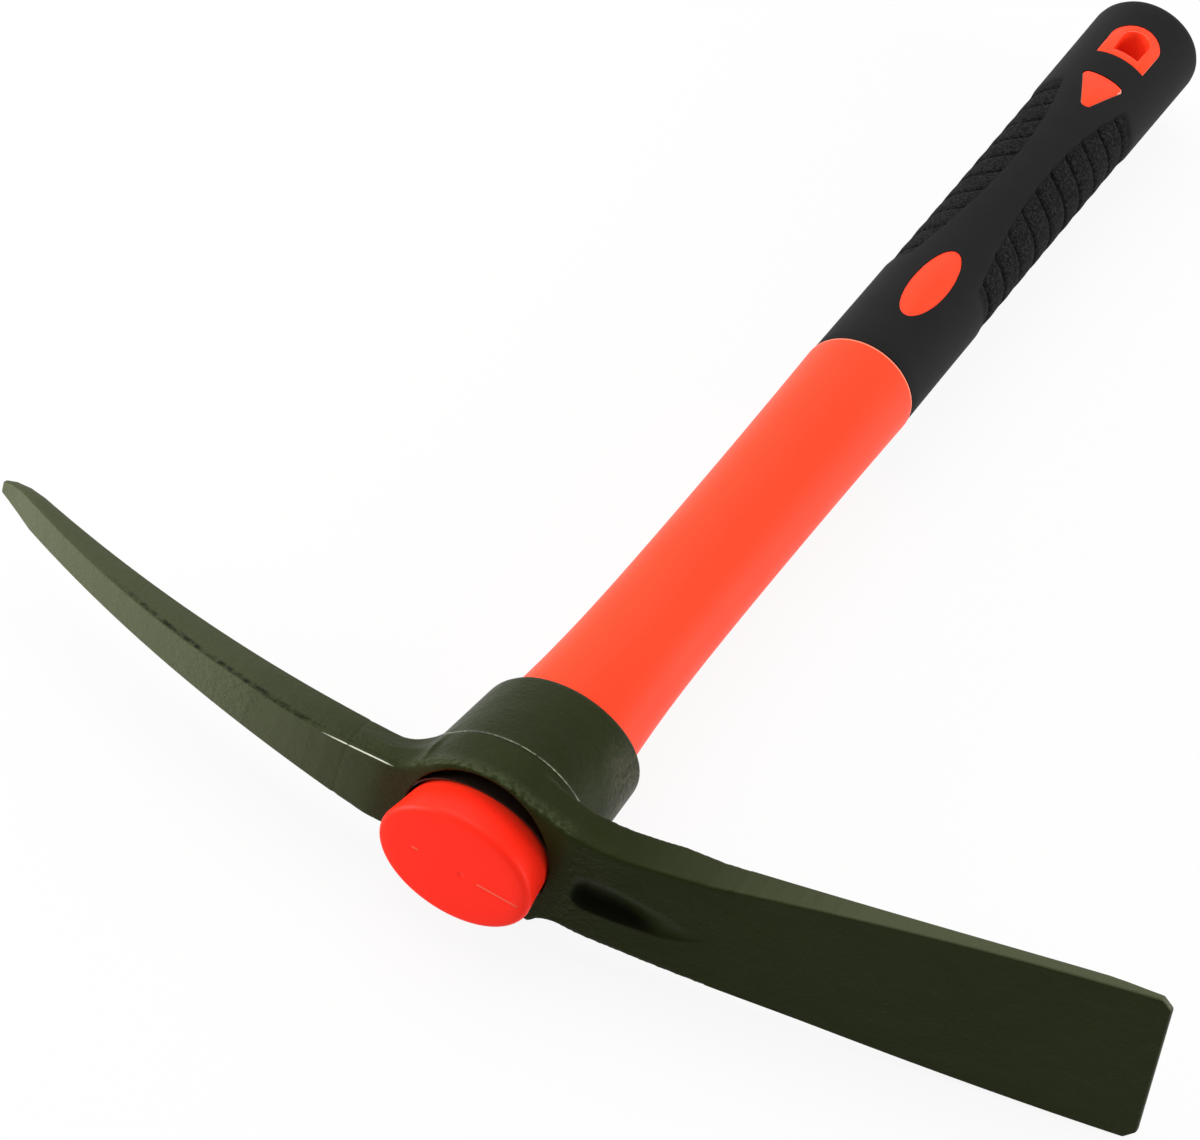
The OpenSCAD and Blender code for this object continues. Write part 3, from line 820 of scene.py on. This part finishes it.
HOLLOW_TAIL = 0.5
HOLLOW_DARK_EDGE = (-0.4, 0.1)
COLLAR_SET = 0.5
FORGING_VOXEL = 0.4
FORGING_SMOOTH = 6
SMOOTH_FACTOR = 0.5
CUT_SMOOTH = 2
PICK_JOINT_X = ((11, 14), (20, 17))
PICK_JOINT_SMOOTH = 40
# How much painted light lies along the arms, by which way a face looks.
PAINTED_LIGHT_ARMS = ((-140, 0.62), (-75, 0.45), (-45, 0.12), (-30, 0), (10, 0), (30, 0.3), (65, 0.75),
              (130, 1))
PAINTED_LIGHT_PICK_TOP = 0.45
PAINTED_LIGHT_BLADE_FRONT = 0.08
PAINTED_LIGHT_FACING = (0.5, 0.85)


def root_fillet(x):
    """Extra half height of an arm where it flows into the eye, at a distance from the handle's axis."""
    into = min(ROOT_FILLET * ROOT_FILLET_SHARE, max(0, ROOT_FILLET_X - x))
    return ROOT_FILLET - math.sqrt(ROOT_FILLET ** 2 - into ** 2)


def draw_arm(name, sections, edge):
    """Draws an arm by extruding a disc once for each section and setting its points in place."""
    bpy.ops.object.select_all(action="DESELECT")
    sides = len(sections[0])
    bpy.ops.mesh.primitive_circle_add(vertices=sides, radius=MM, fill_type="NGON")
    piece = bpy.context.object
    piece.name = name
    bpy.ops.object.mode_set(mode="EDIT")
    for _ in sections[1:]:
        bpy.ops.mesh.extrude_region_move(TRANSFORM_OT_translate={"value": (0, 0, MM)})
    bpy.ops.object.mode_set(mode="OBJECT")
    corners = [math.atan2(vertex.co.y, vertex.co.x) for vertex in piece.data.vertices]
    for vertex, corner in zip(piece.data.vertices, corners):
        number = round((corner - corners[0]) / math.tau * sides) % sides
        vertex.co = at(*sections[round(vertex.co.z / MM)][number])
    bpy.ops.object.mode_set(mode="EDIT")
    bpy.ops.mesh.select_all(action="SELECT")
    bpy.ops.mesh.normals_make_consistent(inside=False)
    bpy.ops.object.mode_set(mode="OBJECT")
    apply_modifier(piece, "BEVEL", width=edge * MM, segments=3, limit_method="ANGLE",
                   angle_limit=ARM_SHARP)
    return piece


def blade_section(x, cut=0, tuck=0):
    """Section of the blade: a flat front face that leans back, thinning and widening to the edge."""
    share = max(0, (x - BLADE_ROOT_X) / (edge_x - BLADE_ROOT_X))
    half = mix(BLADE_W[1], BLADE_W[0], (1 - share) ** BLADE_FLARE_POWER) / 2 - cut
    thick = min(BLADE_ROOT_T, mix(BLADE_T[1], BLADE_T[0], (1 - share) ** BLADE_THIN_POWER))
    front = max(EYE_FRONT_Y, ARM_FRONT_Y + (x - BLADE_ROOT_X) * math.tan(BLADE_LEAN))
    top = half
    if x < BLADE_ROOT_TOP[-1][0]:
        top = max(half, along_table(BLADE_ROOT_TOP, x))
    to_edge = smooth_step(edge_x - BLADE_END_MM, edge_x, x)
    thick = mix(thick, BLADE_EDGE_T, to_edge)
    top += BLADE_TOP_RISE * share
    at_root = math.prod(smooth_step(*ends, x) for ends in BLADE_ROOT_LOW_X)
    low = -half - root_fillet(x) - BLADE_ROOT_LOW * at_root
    low += BLADE_LOW_RISE * 4 * share * (1 - share)
    lean = math.tan(BLADE_SKEW * share)
    return [(x - z * lean, y, z) for y, z in (
        (front + tuck, low + tuck), (front + thick - tuck, low + tuck),
        (front + thick - tuck, top - tuck), (front + tuck, top - tuck))]


def pick_section(x, size_share=1, tuck=0):
    """Section of the pick: a flat front, and sides whose rear half slopes in toward the back."""
    share = min(1, max(0, (x - PICK_ROOT_X) / (tip_x - PICK_ROOT_X)))
    half = mix(PICK_W[1], PICK_W[0], (1 - share) ** PICK_NARROW_POWER) / 2 * size_share + root_fillet(x)
    thick = mix(PICK_T[0], PICK_T[1], share ** PICK_THIN_POWER)
    front = ARM_FRONT_Y + PICK_SWEEP * share ** PICK_CURVE_POWER + thick * (1 - size_share) / 2
    front += (EYE_FRONT_Y - ARM_FRONT_Y) * smooth_step(PICK_HEEL_X, PICK_START_X, x)
    heel = max(0, (PICK_HEEL_X - x) / PICK_HEEL_LEN)
    thick = thick * size_share + PICK_HEEL * heel ** 2
    back = half * mix(*PICK_BACK_SHARE, share)
    ridge = front + thick * PICK_RIDGE_SHARE
    drop = PICK_FRONT_DROP * math.prod(smooth_step(*ends, x) for ends in PICK_FRONT_DROP_X)
    half, back = half - tuck, back - tuck
    return [(-x, y, z) for y, z in (
        (front + tuck, -half), (ridge, -half), (front + thick - tuck, -back),
        (front + thick - tuck, back), (ridge, half), (front + tuck, half - drop))]


edge_x = BLADE_REACH - (BLADE_W[1] / 2 - BLADE_CORNER) * math.tan(BLADE_SKEW)
tip_x = PICK_REACH - PICK_END
blade_root = draw_arm("blade_root", [
    *(blade_section(x) for x in steps(BLADE_START_X, BLADE_SEAM_X, BLADE_ROOT_STEP)),
    blade_section(BLADE_SEAM_X + ARM_OVERLAP, 0, ARM_TUCK)], ROOT_EDGE)
pick_root = draw_arm("pick_root", [
    *(pick_section(x) for x in steps(PICK_START_X, PICK_SEAM_X, PICK_ROOT_STEP)),
    pick_section(PICK_SEAM_X + ARM_OVERLAP, 1, ARM_TUCK)], ROOT_EDGE)
blade = draw_arm("blade", [
    blade_section(BLADE_SEAM_X - ARM_OVERLAP, 0, ARM_TUCK),
    *(blade_section(x) for x in steps(BLADE_SEAM_X + ARM_START, edge_x - BLADE_CORNER, ARM_STEP)),
    blade_section(edge_x, BLADE_CORNER)], ARM_EDGE)
pick_end_x = PICK_REACH - PICK_END_SHARES[0][0]
pick = draw_arm("pick", [
    pick_section(PICK_SEAM_X - ARM_OVERLAP, 1, ARM_TUCK),
    *(pick_section(x) for x in steps(PICK_SEAM_X + ARM_START, pick_end_x, ARM_STEP)[:-1]),
    *(pick_section(PICK_REACH - before, share) for before, share in PICK_END_SHARES)], ARM_EDGE)

lip_rings = [
    (EYE_FRONT_Y + along, *grown(EYE, inset)) for along, inset in rounded(EYE_LIP, EYE_LIP, EDGE_STEPS)]
crease_rings = [(CREASE_Y, *EYE_REAR), (CREASE_Y, *COLLAR_FRONT)]
rim_rings = [
    (COLLAR_Y - before, *grown(COLLAR_REAR, inset))
    for before, inset in reversed(rounded(COLLAR_EDGE, COLLAR_EDGE, EDGE_STEPS))]
head = draw_rings("head_forging", lip_rings + crease_rings + rim_rings)
for vertex in head.data.vertices:
    along_collar = smooth_step(at(0, CREASE_Y, 0).y, at(0, COLLAR_Y, 0).y, vertex.co.y)
    vertex.co.x += COLLAR_SET * MM * along_collar
mouth = (handle_size(EYE_FRONT_Y)[0] + 2 * EYE_HOLE_GAP, EYE[1] - 2 * EYE_MOUTH_LIP)
mouth_rings = [(y, *mouth) for y in (ARM_FRONT_Y - 2 * EYE_OVERRUN, EYE_FRONT_Y)]
taper_rings = [
    (y, *grown(handle_size(y), EYE_HOLE_GAP))
    for y in steps(EYE_FRONT_Y + EYE_MOUTH_DEEP, COLLAR_Y + EYE_OVERRUN, SHAFT_STEP)]
eye_hole = draw_rings("eye_hole", mouth_rings + taper_rings)

# The middle of the forging grows together, and the corner between the pick and the eye is smoothed more.
join(head, blade_root, pick_root)
apply_modifier(head, "REMESH", mode="VOXEL", voxel_size=FORGING_VOXEL * MM)
apply_modifier(head, "SMOOTH", factor=SMOOTH_FACTOR, iterations=FORGING_SMOOTH)
pick_joint = head.vertex_groups.new(name="pick_joint")
for vertex in head.data.vertices:
    out = -(vertex.co.x - at(0, 0, 0).x) / MM
    in_joint = math.prod(smooth_step(*ends, out) for ends in PICK_JOINT_X)
    pick_joint.add([vertex.index], in_joint, "REPLACE")
apply_modifier(
    head, "SMOOTH", factor=SMOOTH_FACTOR, iterations=PICK_JOINT_SMOOTH, vertex_group="pick_joint")

# The hollow is pressed into the blade's front: steep at its lower side and beside the eye, and running
# out softly toward the top and the edge. Its vertices keep how much painted shade lies on them.
inward = Vector((-math.sin(BLADE_LEAN), math.cos(BLADE_LEAN), 0))
hollow_mask = head.data.attributes.new("hollow", "FLOAT", "POINT")
front_normals = [vertex.normal.dot(inward) for vertex in head.data.vertices]
for vertex, facing in zip(head.data.vertices, front_normals):
    x, y, z = (vertex.co - at(0, 0, 0)) / MM
    behind = y - ARM_FRONT_Y - (x - BLADE_ROOT_X) * math.tan(BLADE_LEAN)
    on_front = abs(behind) < 2 * FORGING_VOXEL and facing < HOLLOW_FACING
    if on_front and HOLLOW_LOW[0][0] < x < HOLLOW_LOW[-1][0]:
        low, top = along_table(HOLLOW_LOW, x), along_table(HOLLOW_TOP, x)
        shares = [smooth_step(*ends, x) for ends in HOLLOW_ENDS_X]
        shares += [smooth_step(*sides, (z - low) / (top - low)) for sides in HOLLOW_SIDES]
        vertex.co += inward * HOLLOW_DEEP * MM * math.prod(shares)
        core, fade = along_table(HOLLOW_DARK, x)
        dark = smooth_step(*HOLLOW_DARK_EDGE, z - low) * smooth_step(fade, core, z - low)
        dark *= smooth_step(*HOLLOW_DARK_X, x) * mix(HOLLOW_TAIL, 1, smooth_step(*HOLLOW_TAIL_X, x))
        hollow_mask.data[vertex.index].value = dark

# The eye is cut through, and the arms go on. The pick's front and the blade's top are painted paler, as
# painted light.
apply_modifier(head, "BOOLEAN", operation="DIFFERENCE", object=eye_hole)
apply_modifier(head, "SMOOTH", factor=SMOOTH_FACTOR, iterations=CUT_SMOOTH)
discard(eye_hole)
join(head, blade, pick)
bpy.ops.object.shade_smooth()
apply_modifier(head, "WEIGHTED_NORMAL", weight=100)
painted_light_mask = head.data.attributes.new("painted_light", "FLOAT", "FACE")
for face in head.data.polygons:
    out = (at(0, 0, 0).x - face.center.x) / MM
    if out > 0:
        most = mix(PAINTED_LIGHT_PICK_TOP, 1, smooth_step(*PAINTED_LIGHT_FACING, -face.normal.y))
    else:
        most = mix(PAINTED_LIGHT_BLADE_FRONT, 1, smooth_step(*PAINTED_LIGHT_FACING, face.normal.z))
    painted_light_mask.data[face.index].value = most * along_table(PAINTED_LIGHT_ARMS, out)

# Olive enamel over a forged skin: dark and satin, with the forging's waves and pits showing through,
# rougher and rubbed round the eye's lip. The paint is off along the pick's front ridge, the crease
# has a painted highlight and a painted shadow, and the collar is rubbed to a greyish brown low on the
# blade's side.
OLIVE = "#1A1F0D"
OLIVE_LIGHT = "#21270F"
# The pale olive on the pick's front and the blade's top is painted light.
OLIVE_PAINTED_LIGHT = "#5A5F49"
# The pick's dark edge line is painted shade.
PICK_EDGE_SHADE = "#070804"
EDGE_SHADE_BEHIND_MM = ((0.2, 0.6), (1.9, 1.2))
EDGE_SHADE_ENDS_X = ((-96, -84), (-38, -42))
EDGE_SHADE_TOP_Z = (2, 3)
OLIVE_SHEEN = "#D9E6A8"
OLIVE_CLOUD_MM = 14
FORGED_PIT_MM = 0.8
FORGED_PIT_DEPTH_MM = 0.13
FORGED_WAVE_MM = 6
FORGED_WAVE_DEPTH_MM = 0.32
LIP_HAMMER_MM = 1.6
LIP_HAMMER_DEPTH_MM = 0.38
LIP_END_Y = (14, 10.8)
LIP_START_Y = (9.9, 10.3)
LIP_RUBBED = "#3A4029"
OLIVE_ROUGHNESS = (0.32, 0.52)
HOLLOW_ROUGHNESS = 0.95
ENAMEL_SPECULAR = 0.08
# The hollow's near-black is painted shade.
HOLLOW_SHADE = "#0C0E07"
# The recess's dark red-brown is painted shade with a painted reflection of the knob.
RECESS_SHADE = "#48180E"
RECESS_SHARE = (1.01, 0.97)
RECESS_END_Y = (19, 17)
# The crease's pale line is a painted highlight on the eye's rear edge, and its dark line a painted shadow.
CREASE_HIGHLIGHT = "#8C9274"
CREASE_SHADOW = "#090B05"
CREASE_LINE_MM = (0.36, 0.14)
CREASE_SHADOW_Y = 0.45
CREASE_TOP_Z = (0, 5)
CREASE_HALF_X = (19.5, 17)
RIDGE_LINE = "#D2D4C4"
RIDGE_LINE_MM = (0.22, 0.08)
RIDGE_ENDS_X = (38, 20.2)
RIDGE_FADE = 0.4
RUBBED = "#4C473B"
RUBBED_CENTRE = (18, 41, 3)
RUBBED_RADIUS_MM = (12, 2)
RUBBED_SPECK_MM = 1.1
CHIP_EDGES = (0.35, 0.65)
olive_enamel, tree, shader = new_material("olive_enamel_on_forged_steel")
place = add_node(tree, "ShaderNodeTexCoord")["Object"]
tool_mm, tool_axes = tool_place(tree)
clouds = add_node(tree, "ShaderNodeTexNoise", {
    "Vector": place, "Scale": per_metre(OLIVE_CLOUD_MM), "Detail": 5})
painted_light = add_node(tree, "ShaderNodeAttribute", attribute_name="painted_light")
in_hollow = add_node(tree, "ShaderNodeAttribute", attribute_name="hollow")

# The rubbed patch fades out from its middle, and it breaks up into specks, as do the lip's wear, the
# crease's painted highlight and the pick's painted edge shade.
specks = add_node(tree, "ShaderNodeTexNoise", {
    "Vector": place, "Scale": per_metre(RUBBED_SPECK_MM), "Detail": 4})
speckled = (specks[0], *CHIP_EDGES)
from_patch = add_node(
    tree, "ShaderNodeVectorMath", {0: tool_mm, 1: RUBBED_CENTRE}, operation="DISTANCE")
on_lip = ((tool_axes["Y"], *LIP_END_Y), (tool_axes["Y"], *LIP_START_Y))
eye_top = (*near(tool_axes["X"], 0, CREASE_HALF_X), (tool_axes["Z"], *CREASE_TOP_Z))

# A broken dark line of painted shade lies on the pick's top, just behind its curved front edge.
pick_share = soft_mask(tree, (tool_axes["X"], -PICK_ROOT_X, -tip_x))
curve = add_node(tree, "ShaderNodeMath", {0: pick_share, 1: PICK_CURVE_POWER}, operation="POWER")
front = add_node(
    tree, "ShaderNodeMath", {0: curve[0], 1: PICK_SWEEP, 2: ARM_FRONT_Y}, operation="MULTIPLY_ADD")
behind = add_node(tree, "ShaderNodeMath", {0: tool_axes["Y"], 1: front[0]}, operation="SUBTRACT")
on_edge_shade = [(tool_axes["Z"], *EDGE_SHADE_TOP_Z)]
on_edge_shade += [(behind[0], *ends) for ends in EDGE_SHADE_BEHIND_MM]
on_edge_shade += [(tool_axes["X"], *ends) for ends in EDGE_SHADE_ENDS_X]

# The recess lies inside the mouth's oval, where the distance from the axis is a share of its half sides.
# It is painted dark red-brown as painted shade, reddened as a painted reflection of the knob.
mouth_share = add_node(tree, "ShaderNodeVectorMath", {
    0: tool_mm, 1: (2 / mouth[0], 0, 2 / mouth[1])}, operation="MULTIPLY")
from_axis = add_node(tree, "ShaderNodeVectorMath", {0: mouth_share[0]}, operation="LENGTH")
in_recess = ((from_axis["Value"], *RECESS_SHARE), (tool_axes["Y"], *RECESS_END_Y))

# The bright line on the pick's front ridge needs each point's distance along the ridge and off it.
ridge_start, ridge_end = [Vector(pick_section(x)[5]) for x in RIDGE_ENDS_X]
ridge_way = (ridge_end - ridge_start).normalized()
ridge_half = (ridge_end - ridge_start).length / 2
from_start = add_node(
    tree, "ShaderNodeVectorMath", {0: tool_mm, 1: ridge_start}, operation="SUBTRACT")[0]
along_ridge, foot = [
    add_node(tree, "ShaderNodeVectorMath", {0: from_start, 1: ridge_way}, operation=operation)
    for operation in ("DOT_PRODUCT", "PROJECT")]
off_ridge = add_node(tree, "ShaderNodeVectorMath", {0: from_start, 1: foot[0]}, operation="DISTANCE")
on_ridge = near(along_ridge["Value"], ridge_half, (ridge_half, ridge_half - RIDGE_FADE))

# The layers lie on the paint in this order.
paint = linear(OLIVE)
for share, colour in (
        (clouds[0], OLIVE_LIGHT),
        # Painted light on the pick's front and the blade's top.
        (painted_light["Fac"], OLIVE_PAINTED_LIGHT),
        (soft_mask(tree, (from_patch["Value"], *RUBBED_RADIUS_MM), speckled), RUBBED),
        (soft_mask(tree, *on_lip, *eye_top, speckled), LIP_RUBBED),
        # Painted shade behind the pick's front edge.
        (soft_mask(tree, *on_edge_shade, speckled), PICK_EDGE_SHADE),
        # Painted shade in the hollow.
        (in_hollow["Fac"], HOLLOW_SHADE),
        # Painted shade and painted reflection in the eye's recess.
        (soft_mask(tree, *in_recess), RECESS_SHADE),
        # Painted shadow and painted highlight at the crease.
        (soft_mask(tree, *near(tool_axes["Y"], CREASE_Y - CREASE_SHADOW_Y, CREASE_LINE_MM), *eye_top),
         CREASE_SHADOW),
        (soft_mask(tree, *near(tool_axes["Y"], CREASE_Y, CREASE_LINE_MM), *eye_top, speckled),
         CREASE_HIGHLIGHT),
        (soft_mask(tree, (off_ridge["Value"], *RIDGE_LINE_MM), *on_ridge), RIDGE_LINE)):
    paint = add_node(
        tree, "ShaderNodeMix", {"Factor": share, 6: paint, 7: linear(colour)}, data_type="RGBA")[2]

# Waves and pits of the forging, with coarse hammer marks at the lip.
waves = add_node(tree, "ShaderNodeTexNoise", {
    "Vector": place, "Scale": per_metre(FORGED_WAVE_MM), "Detail": 2})
pits = add_node(tree, "ShaderNodeTexNoise", {
    "Vector": place, "Scale": per_metre(FORGED_PIT_MM), "Detail": 3})
hammer = add_node(tree, "ShaderNodeTexNoise", {
    "Vector": place, "Scale": per_metre(LIP_HAMMER_MM), "Detail": 4})
hammer_here = add_node(
    tree, "ShaderNodeMath", {0: hammer[0], 1: soft_mask(tree, *on_lip)}, operation="MULTIPLY")
wavy = add_node(tree, "ShaderNodeBump", {
    "Height": waves[0], "Distance": FORGED_WAVE_DEPTH_MM * MM})
hammered = add_node(tree, "ShaderNodeBump", {
    "Height": hammer_here[0], "Distance": LIP_HAMMER_DEPTH_MM * MM, "Normal": wavy[0]})
pitted = add_node(tree, "ShaderNodeBump", {
    "Height": pits[0], "Distance": FORGED_PIT_DEPTH_MM * MM, "Normal": hammered[0]})
gloss = add_node(tree, "ShaderNodeMapRange", {
    "Value": pits[0], "To Min": OLIVE_ROUGHNESS[0], "To Max": OLIVE_ROUGHNESS[1]})
# The hollow is also duller where its painted shade lies.
hollow_rough = add_node(
    tree, "ShaderNodeMath", {0: in_hollow["Fac"], 1: HOLLOW_ROUGHNESS}, operation="MULTIPLY")
dullness = add_node(tree, "ShaderNodeMath", {0: gloss[0], 1: hollow_rough[0]}, operation="MAXIMUM")
tree.links.new(paint, shader.inputs["Base Color"])
tree.links.new(dullness[0], shader.inputs["Roughness"])
tree.links.new(pitted[0], shader.inputs["Normal"])
shader.inputs["Specular IOR Level"].default_value = ENAMEL_SPECULAR
shader.inputs["Specular Tint"].default_value = linear(OLIVE_SHEEN)
head.data.materials.clear()
head.data.materials.append(olive_enamel)
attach(head, "root")
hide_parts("head")


# Studio
# A pale floor under the tool, a white background, a soft light above and one at each side. The camera
# looks down across the knob to the butt and is rolled, so that the head runs across the picture.

CAMERA_AZIMUTH = math.radians(14.83)
CAMERA_ELEVATION = math.radians(41.3)
CAMERA_ROLL = math.radians(19.44)
CAMERA_AIM = (-17.77, 98.75, 0)
CAMERA_DISTANCE_MM = 830
CAMERA_LENS = 114
CAMERA_SENSOR = 36
CAMERA_NEAR = 0.01
FLOOR_SIZE = 6
FLOOR_PALE = "#DCDCDA"
FLOOR_GLOW = 0.9
FLOOR_ROUGHNESS = 0.9
WORLD_LIGHT = 0.42
WHITE = (1, 1, 1, 1)
LAMP_AIM = (0, 150, 0)
LAMPS = (
    ("key", (-350, 250, 850), 0.9, 7.5),
    ("left", (-900, -350, 150), 0.6, 12.0),
    ("right", (800, 400, 150), 0.6, 7.0),
)

turn = (Matrix.Rotation(CAMERA_AZIMUTH, 3, "Z")
        @ Matrix.Rotation(math.pi / 2 - CAMERA_ELEVATION, 3, "X")
        @ Matrix.Rotation(CAMERA_ROLL, 3, "Z"))
bpy.ops.object.camera_add(rotation=turn.to_euler())
camera = bpy.context.object
camera.location = at(*CAMERA_AIM) + turn @ Vector((0, 0, CAMERA_DISTANCE_MM * MM))
camera.data.lens = CAMERA_LENS
camera.data.sensor_width = CAMERA_SENSOR
camera.data.clip_start = CAMERA_NEAR
bpy.context.scene.camera = camera


def seeing_white(tree):
    """1 for rays that see the white background: the camera's, mirrored ones and those through glass."""
    rays = add_node(tree, "ShaderNodeLightPath")
    share = rays["Is Camera Ray"]
    for kind in ("Is Glossy Ray", "Is Transmission Ray"):
        share = add_node(tree, "ShaderNodeMath", {0: share, 1: rays[kind]}, operation="MAXIMUM")[0]
    return share


bpy.ops.object.select_all(action="DESELECT")
bpy.ops.mesh.primitive_plane_add(size=FLOOR_SIZE)
floor = bpy.context.object
floor.name = "floor"
pale_floor, tree, shader = new_material("pale_floor")
shader.inputs["Base Color"].default_value = linear(FLOOR_PALE)
shader.inputs["Roughness"].default_value = FLOOR_ROUGHNESS
white = add_node(tree, "ShaderNodeEmission", {"Color": WHITE, "Strength": 1})
glow = add_node(tree, "ShaderNodeMath", {0: seeing_white(tree), 1: FLOOR_GLOW}, operation="MULTIPLY")
mixed = add_node(tree, "ShaderNodeMixShader", {0: glow[0], 1: shader.outputs[0], 2: white[0]})
tree.links.new(mixed[0], tree.nodes["Material Output"].inputs["Surface"])
floor.data.materials.append(pale_floor)
floor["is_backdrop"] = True

world = bpy.data.worlds.new("studio")
bpy.context.scene.world = world
world.use_nodes = True
tree = world.node_tree
tree.nodes.clear()
soft = add_node(tree, "ShaderNodeBackground", {"Color": WHITE, "Strength": WORLD_LIGHT})
backdrop = add_node(tree, "ShaderNodeBackground", {"Color": WHITE, "Strength": 1})
mixed = add_node(tree, "ShaderNodeMixShader", {0: seeing_white(tree), 1: soft[0], 2: backdrop[0]})
add_node(tree, "ShaderNodeOutputWorld", {"Surface": mixed[0]})

for name, place, size, energy in LAMPS:
    data = bpy.data.lights.new(name, "AREA")
    data.size = size
    data.energy = energy
    lamp = bpy.data.objects.new(name, data)
    bpy.context.scene.collection.objects.link(lamp)
    lamp.location = at(*place)
    lamp.rotation_euler = (at(*LAMP_AIM) - lamp.location).to_track_quat("-Z", "Y").to_euler()

bpy.context.scene.view_settings.view_transform = "Standard"

low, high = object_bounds()
